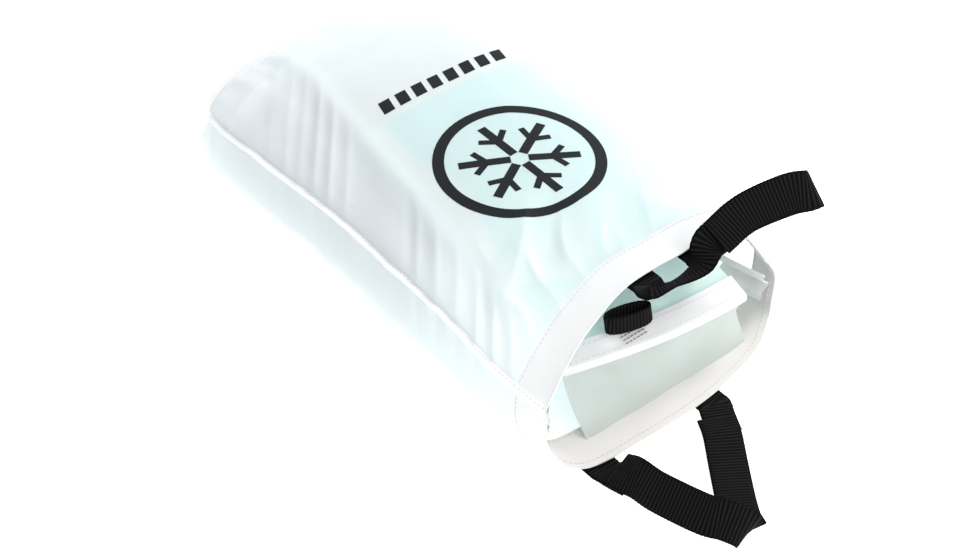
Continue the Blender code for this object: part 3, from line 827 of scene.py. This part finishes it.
def print_object(name, outlines, tree):
    """Flat ink shapes laid on the panel: each outline is a list of (x, y) corners."""
    work = bmesh.new()
    for outline in outlines:
        face = work.faces.new([work.verts.new((x, y, 0)) for x, y in outline])
        face.normal_update()
        if face.normal.z < 0:
            face.normal_flip()
    bmesh.ops.triangulate(work, faces=work.faces)
    for _ in range(9):
        long_edges = [e for e in work.edges if e.calc_length() > PRINT_CELL]
        if not long_edges:
            break
        bmesh.ops.subdivide_edges(work, edges=long_edges, cuts=1)
        bmesh.ops.triangulate(work, faces=[f for f in work.faces if len(f.verts) > 3])
    for vert in work.verts:
        hit, normal, _, _ = tree.ray_cast(Vector((vert.co.x, vert.co.y, 0.2)), -UP)
        if hit is not None:
            vert.co = hit + normal * INK_HEIGHT
    place(new_object(name, work, "ink"), "bag_cloth", "bag")


def towards(angle):
    return Vector((math.cos(angle), math.sin(angle)))


def bar_outline(start, end, width):
    """A straight bar between two points."""
    side = (end - start).normalized().orthogonal() * width / 2
    return [start + side, end + side, end - side, start - side]


def build_prints():
    """A generic six-armed star in a ring, and a row of plain slanted blocks."""
    top = bpy.data.objects["front_panel_cloth"]
    tree = BVHTree.FromObject(top, bpy.context.evaluated_depsgraph_get())
    turns = [towards(2 * math.pi * share) for share in steps(RING_PARTS)]
    ring = [[MARK_CENTRE + a * RING_OUTER, MARK_CENTRE + b * RING_OUTER,
             MARK_CENTRE + b * RING_INNER, MARK_CENTRE + a * RING_INNER] for a, b in zip(turns, turns[1:])]
    print_object("mark_ring", ring, tree)
    bars = []
    for k in range(6):
        turn = math.radians(60 * k + 30)
        way = towards(turn)
        bars.append(bar_outline(MARK_CENTRE + way * ARM_START, MARK_CENTRE + way * ARM_END, ARM_WIDTH))
        for lean in (-1, 1):
            root = MARK_CENTRE + way * TWIG_START
            end = root + towards(turn + lean * math.radians(TWIG_LEAN)) * TWIG_LENGTH
            bars.append(bar_outline(root, end, TWIG_WIDTH))
    print_object("mark_star", bars, tree)
    blocks = []
    for k in range(BLOCKS):
        left = BLOCKS_LEFT + k * BLOCK_PITCH
        right = left + BLOCK_WIDTH
        blocks.append([(left, BLOCKS_LOW), (right, BLOCKS_LOW),
                       (right + BLOCK_SLANT, BLOCKS_HIGH), (left + BLOCK_SLANT, BLOCKS_HIGH)])
    print_object("print_blocks", blocks, tree)


# ------------ webbing
def webbing(name, controls, width, *nodes, closed=False, parts=24):
    """Ribbed webbing along its controls, each a centre point and a width direction."""
    if closed:
        controls = controls + [controls[0]]
    centres = curve_through([Vector(centre) for centre, _ in controls], parts)
    widths = curve_through([Vector(way) for _, way in controls], parts)
    places, length = even_places(centres, RIB_PITCH / RIB_STEPS)
    centres = read_at(centres, places)
    widths = read_at(widths, places)
    if closed:
        centres.pop()
        widths.pop()
    count = len(centres)
    ribs = max(1, round(length / RIB_PITCH))
    work = bmesh.new()
    rib_layer = work.verts.layers.float.new("rib")
    rings = []
    for k in range(count):
        along = heading(centres, k, closed)
        side = (widths[k] - along * widths[k].dot(along)).normalized()
        normal = along.cross(side).normalized()
        rib = 0.5 - 0.5 * math.cos(2 * math.pi * ribs * k / (count if closed else count - 1))
        rib = rib ** 0.75
        half = width / 2 - 0.18 * MM * (1 - rib)
        ring = []
        for way in (1, -1):
            for n in range(TAPE_PARTS + 1):
                u = (1 - 2 * n / TAPE_PARTS) * way
                selvedge = smooth(abs(u), 0.86, 0.93)
                thick = WEBBING / 2 * (0.72 + 0.28 * rib * (1 - 0.6 * selvedge))
                thick *= 1.0 if abs(u) < 0.99 else 0.62
                vert = work.verts.new(centres[k] + side * half * u + normal * way * thick)
                vert[rib_layer] = rib * (1 - 0.5 * selvedge)
                ring.append(vert)
        rings.append(ring)
    join_rings(work, rings, closed)
    made = closed_object(name, work, "webbing")
    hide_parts(*nodes)
    return made


def route(start, *stops):
    """Controls of a strap: from a start, each a step in millimetres and a width direction."""
    return [(start + mm(*step), way) for step, way in stops]


def build_tails(handle, tails):
    """A handle's two sewn-in ends, laid from a place before its pivot to one after it."""
    for label, controls in tails.items():
        strap = webbing(f"{handle}_{label}_strap", controls, TAIL_WIDTH,
                        f"{handle}_{label}_anchor", f"{handle}_handle_{label}_tail")
        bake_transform(strap)


def build_front_handle():
    """The upper handle, which stands up and leans to the right of the mouth."""
    left, right = FRONT_EXITS
    ahead = (FRONT_PIVOT.y - left.y) / MM
    start = mm(48.8, -122.6, 83)
    end = mm(111.6, -146.2, 105.5)
    along = (end - start).normalized()
    facing = Vector((-0.46, -0.57, 0.68))
    facing = (facing - along * facing.dot(along)).normalized()
    upright = facing.cross(along)
    reach = (end - start).length
    half = 4.2 * MM                             # half the gap that the grip folds round
    inner = half - (WEBBING + FIT_GAP) * 1.1
    outer = -half - (WEBBING + FIT_GAP) * 1.76

    def at(run, out, rise=0.0, way=upright):
        return start + along * run + facing * out + upright * rise, way

    flat, tilted = (1, 0, 0), (1, 0, -0.14)
    tails = {
        "left": route(left, ((0, 26, -1.8), flat), ((0, 10, -0.7), flat),
                      ((0, ahead, 0), flat), ((0.2, ahead - 4.0, -0.6), (0.99, 0.05, -0.08)))
        + [(mm(15, -125.2, 65.5), (0.70, 0.55, -0.46)),
           (mm(33.2, -130.3, 74.2), (0.40, 0.85, -0.15)),
           at(-0.003, inner, -0.001), at(0.014, inner, 0.0015)],
        "right": route(right, ((0, 26, -1.8), tilted), ((0, 10, -0.7), tilted),
                       ((0, ahead, 0), tilted), ((0.3, ahead - 4.5, 0.4), (0.97, 0.12, -0.02)))
        + [at(-0.003, outer, -0.003, (0.35, 0.8, 0.5)), at(0.016, outer, 0.002)],
    }
    build_tails("front", tails)
    grip = [at(0.001, half + 0.0006, -0.001), at(reach * 0.35, half, 0.0055), at(reach * 0.75, half, 0.0050),
            at(reach - half, half * 0.95, 0.001), at(reach, 0), at(reach - half, -half * 0.95),
            at(reach * 0.75, -half, 0.0030), at(reach * 0.35, -half, 0.0045), at(0.006, -half)]
    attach(webbing("front_grip_webbing", grip, WEBBING_WIDTH, "front_handle_grip"), "front_handle")


def build_back_handle():
    """The lower handle, which lies on the surface in front of the mouth."""
    low = WEBBING / 2 / MM + 0.2                # the strap's middle when it lies flat, in millimetres
    above = 2 * low + (WEBBING / 2 + FIT_GAP) / MM
    left, right = (Vector((x, BACK_PIVOT.y, 0)) for x in BACK_EXITS_X)
    flat = (1, 0, 0)
    sewn_in = [((0, 30, low), flat), ((0, 15, low), flat), ((0, 0, low), flat)]
    tails = {
        "left": route(left, *sewn_in, ((0, -4, low + 0.6), flat),
                      ((0.6, -10, 4.5), (0.95, -0.05, 0.28)),
                      ((1.6, -23, 9), (0.72, -0.22, 0.60))),
        "right": route(right, *sewn_in, ((0, -4, low), flat),
                       ((-4, -11, low), (0.95, -0.3, 0)), ((-11, -25, low), (0.89, -0.46, 0))),
    }
    build_tails("back", tails)
    grip = route(left, ((0.8, -11, 8.5), (0.90, -0.10, 0.42)),
                 ((2, -27, 14), (0.62, -0.30, 0.72)),
                 ((4.5, -44, 14), (0.68, -0.07, 0.73)),
                 ((13.5, -73, 14), (0.75, 0.17, 0.63)),
                 ((20, -85, 14.5), (0.82, 0.16, 0.55)),
                 ((25.5, -94, 12.5), (0.88, 0.14, 0.42)),
                 ((28.5, -96.5, 9), (0.92, 0.10, 0.25)),
                 ((30.5, -94, 5.2), (0.94, 0.00, 0.08)),
                 ((35.5, -84.5, 3), (0.88, -0.35, 0)),
                 ((44.3, -70.2, low + 0.8), (0.83, -0.56, 0)))
    grip += route(right, ((-27.5, -45, low + 0.2), (0.88, -0.45, 0)),
                  ((-15.5, -27, low + 2.6), (0.89, -0.46, 0)),
                  ((-8.5, -14, above), (0.92, -0.38, 0)))
    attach(webbing("back_grip_webbing", grip, WEBBING_WIDTH, "back_handle_grip"), "back_handle")


# ------------ inside the mouth
def crossing(left, right, bow, u):
    """A point on the bowed line between two corners."""
    return left.lerp(right, u) + bow * math.sin(math.pi * u)


def hem_at(u):
    return crossing(HEM_LEFT, HEM_RIGHT, HEM_BOW, u)


def pouch_top_at(v, u):
    """The mint sheet, from the hem (v 0) to its far edge (v 1), left to right."""
    near, far = hem_at(u), crossing(FAR_LEFT, FAR_RIGHT, FAR_BOW, u)
    rise = max(smooth(v, 0, 1), math.sin(math.pi / 2 * min(1.0, v * 2.2)))
    point = near.lerp(far, v)
    point.z = near.z + (far.z - near.z) * rise - 0.5 * MM
    point.z += 0.9 * MM * noise_at(u * 7, v * 9, 1.0) * smooth(v, 0.02, 0.15)
    return point


def pouch_front_at(v, u):
    """The pale sheet, from its foot (v 0) up to the hem (v 1), left to right."""
    belly = math.sin(math.pi * v)
    foot = 4.5 * MM * (1 - v) ** 3
    waves = 4.0 * MM * belly ** 0.7 * noise_at(u * 5.0 + v, v * 1.6, 7.0)
    moved = Vector((0, 6.0 * MM * belly - foot + waves, -1.5 * MM * v - foot))
    return FRONT_LEFT.lerp(FRONT_RIGHT, u).lerp(hem_at(u), v) + moved


def build_pouch():
    """The inner pouch: mint top sheet, pale front sheet, white hem and webbing pull loop."""
    top = sheet_object("pouch_top_cloth", grid(POUCH_PARTS, POUCH_PARTS, pouch_top_at), "mint")
    place(top, "pouch_mint", "bag", "pouch_top")

    front = sheet_object("pouch_front_cloth", grid(POUCH_PARTS, POUCH_PARTS, pouch_front_at), "pale")
    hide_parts("pouch_front")
    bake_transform(front)

    turn = [Vector((0, y, z)) for y, z in ((-0.0020, -0.0046), (-0.0023, -0.0016), (-0.0014, 0.0008),
                                           (0.0010, 0.0018), (0.0134, 0.0064))]
    rows = [[hem_at(u) + step for u in steps(POUCH_PARTS)] for step in curve_through(turn, 4)]
    hem = thick_sheet("pouch_hem_band", rows, "white", 0.9 * MM, "pouch_hem_white", "bag", "pouch_hem",
                      offset=-1.0)
    up = Vector((0, -0.35, 0.93))
    lines = [[(p + up * 0.08 * MM, up) for p in rows[i][1:-1]] for i in (12, 15)]
    threads = thread_object("pouch_hem_stitches", lines, "white_thread", radius=0.22 * MM)
    place(threads, "pouch_hem_white", "bag")
    build_pull_loop()


def build_pull_loop():
    """The short webbing loop that stands on the pouch's hem, and the tack that holds it."""
    long_way = towards(LOOP_TURN).to_3d()
    short_way = Vector((-long_way.y, long_way.x, 0))
    ring = []
    for share in steps(16)[:-1]:
        turn = 2 * math.pi * share
        flat = math.copysign(abs(math.cos(turn)) ** 0.8, math.cos(turn))
        centre = LOOP_CENTRE + long_way * LOOP_REACH * flat + short_way * LOOP_SPREAD * math.sin(turn)
        ring.append((centre, Vector((-0.05, 0.15, 1.0))))
    loop = webbing("pull_loop_webbing", ring, LOOP_WIDTH, "pouch_loop", closed=True, parts=12)
    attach(loop, "pull_loop")
    low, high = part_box("pouch_loop_tack")
    lines = []
    for k in range(3):
        share = (k + 0.5) / 3
        y = low.y + (high.y - low.y) * share
        z = low.z + (high.z - low.z) * (0.25 + 0.5 * share)
        lines.append([(Vector((x, y, z)), UP) for x in (low.x, high.x)])
    tack = thread_object("pull_loop_tack_thread", lines, "black_thread", radius=0.36 * MM, gap=0.3 * MM)
    place(tack, "black_thread", "bag", "pouch_loop_tack")


def build_gussets():
    """The folded cloth that closes each side corner of the mouth."""
    for label, sign, low, height in (("left", -1, 0.009, 0.040), ("right", 1, 0.017, 0.031)):
        def point(v, u):
            curl = 6.0 * MM * (1 - smooth(v, 0.0, 0.35)) if sign < 0 else -2.0 * MM
            bulge = math.sin(math.pi * u)
            lobes = 2.5 * MM * math.cos(4 * math.pi * u) * bulge + 0.8 * MM * noise_at(u * 6, v * 4, sign)
            x = 0.0865 - 8.0 * MM * v + 4.0 * MM * bulge + curl + lobes
            return Vector((sign * x, CHORD_Y + 4.0 * MM + 34.0 * MM * v, low + (GUSSET_TOP - low) * u))

        gusset = thick_sheet(f"{label}_gusset_cloth", grid(30, 40, point), "gusset", CLOTH,
                             "bag_cloth", "bag", f"{label}_mouth_gusset", flip=sign < 0)


# ------------ the skins
SKIN_LAYERS = 6
SKIN_THICK = 2.4 * MM


def skin_path(low, high):
    """The folded skin's middle line as (y, z), layer upon layer from the lowest."""
    bottom, top = low.z + SKIN_THICK / 2 + 0.1 * MM, high.z - SKIN_THICK / 2 - 0.1 * MM
    pitch = (top - bottom) / (SKIN_LAYERS - 1)
    radius = pitch / 2
    front, back = low.y + radius + SKIN_THICK / 2, high.y - radius - SKIN_THICK / 2
    path = []
    for layer in range(SKIN_LAYERS):
        z = bottom + layer * pitch
        start, end = (front, back) if layer % 2 == 0 else (back, front)
        path += [(start + (end - start) * share, z) for share in steps(30)]
        if layer < SKIN_LAYERS - 1:
            way = 1 if end == back else -1
            for k in range(1, 9):
                turn = math.pi * k / 9 - math.pi / 2
                path.append((end + way * radius * math.cos(turn), z + radius + radius * math.sin(turn)))
    return path


def build_skins():
    """Two folded climbing skins with their wire tip loops and moulded tail clips."""
    for side in ("left", "right"):
        low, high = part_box(f"{side}_skin")
        path = skin_path(low, high)
        inset = 0.4 * MM
        rows = []
        for y, z in path:
            row = []
            for u in steps(14):
                x = low.x + inset + (high.x - low.x - 2 * inset) * u
                limp = 0.35 * MM * noise_at(x * 30, y * 22, z * 120)
                row.append(Vector((x + 0.4 * MM * noise_at(y * 30, z * 200), y, z + limp)))
            rows.append(row)
        skin = thick_sheet(f"{side}_skin_strip", rows, "plush", SKIN_THICK, "skin_plush",
                           f"{side}_skin_stack", f"{side}_skin")
        build_tip_loop(side)
        build_tail_clip(side)


def build_tip_loop(side):
    """The wire loop that hooks over a ski's tip."""
    low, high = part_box(f"{side}_skin_tip_loop")
    middle, radius = (low + high) / 2, 1.4 * MM
    reach = (high - low) / 2 - Vector((radius, radius, 0))
    work = bmesh.new()
    turns = [towards(2 * math.pi * share) for share in steps(64)[:-1]]
    points = [middle + Vector((reach.x * turn.x, reach.y * turn.y, 0)) for turn in turns]
    tube(work, points, radius, sides=12, closed=True)
    wire = closed_object(f"{side}_tip_wire", work, "metal")
    place(wire, "tip_loop_metal", f"{side}_skin_stack", f"{side}_skin_tip_loop")


def build_tail_clip(side):
    """The moulded clip that holds a ski's tail: a rounded plate with three grip ridges."""
    low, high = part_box(f"{side}_skin_tail_clip")
    size = high - low
    work = bmesh.new()
    parts = [(Vector((0, 0, -0.1)), Vector((1.0, 1.0, 0.8)))]
    parts += [(Vector((0, 0.22 * k, 0.32)), Vector((0.8, 0.09, 0.36))) for k in (-1, 0, 1)]
    for centre, share in parts:
        for vert in bmesh.ops.create_cube(work, size=1.0)["verts"]:
            vert.co = (vert.co * share + centre) * size + (low + high) / 2
    bmesh.ops.bevel(work, geom=work.edges, offset=0.45 * MM, segments=3, affect="EDGES")
    clip = new_object(f"{side}_tail_hook", work, "moulded")
    clip.data.set_sharp_from_angle(angle=math.radians(35))
    place(clip, "tail_clip_plastic", f"{side}_skin_stack", f"{side}_skin_tail_clip")


# ------------ floor, light and camera
def aim(thing, spot, target):
    """Put a lamp or the camera at a spot, facing a target, and in the scene."""
    thing.location = spot
    thing.rotation_euler = (target - spot).to_track_quat("-Z", "Y").to_euler()
    bpy.context.scene.collection.objects.link(thing)


def build_stage():
    """A white floor under an even white sky, a lamp to the right and a softer one in front."""
    work = bmesh.new()
    bmesh.ops.create_grid(work, x_segments=1, y_segments=1, size=6.0)
    floor = new_object("floor", work, "floor", smooth_shading=False)
    floor.location.z = -0.05 * MM

    world = bpy.data.worlds.new("studio")
    bpy.context.scene.world = world
    world.use_nodes = True
    sky = world.node_tree.nodes["Background"].inputs
    sky["Color"].default_value = (1.0, 1.0, 1.0, 1.0)
    sky["Strength"].default_value = 0.80

    for name, spot, size, power in (("key", (1.2, 0.1, 1.1), 0.7, 17.0),
                                    ("fill", (0.1, -1.5, 0.8), 1.4, 12.0)):
        lamp = bpy.data.lights.new(name, "AREA")
        lamp.shape = "DISK"
        lamp.size = size
        lamp.energy = power
        holder = bpy.data.objects.new(name, lamp)
        aim(holder, Vector(spot), Vector((0, 0, 0.03)))
    bpy.context.scene.view_settings.view_transform = "Standard"


def build_camera():
    """A long lens that looks down on the bag from in front and its left."""
    data = bpy.data.cameras.new("camera")
    data.sensor_width = 36.0
    data.lens = 82.4
    data.clip_start = 0.05
    camera = bpy.data.objects.new("camera", data)
    azimuth, elevation, distance = math.radians(-38.96), math.radians(42.66), 1.4493
    level = math.cos(elevation)
    target = Vector((-0.0451, -0.0165, 0.030))
    way = Vector((math.sin(azimuth) * level, -math.cos(azimuth) * level, math.sin(elevation)))
    aim(camera, target + distance * way, target)
    bpy.context.scene.camera = camera


def main():
    build_camera()
    build_stage()
    upper, lower = build_shell()
    build_hems(upper, lower)
    build_welts(upper)
    build_prints()
    build_front_handle()
    build_back_handle()
    build_pouch()
    build_gussets()
    build_skins()


main()
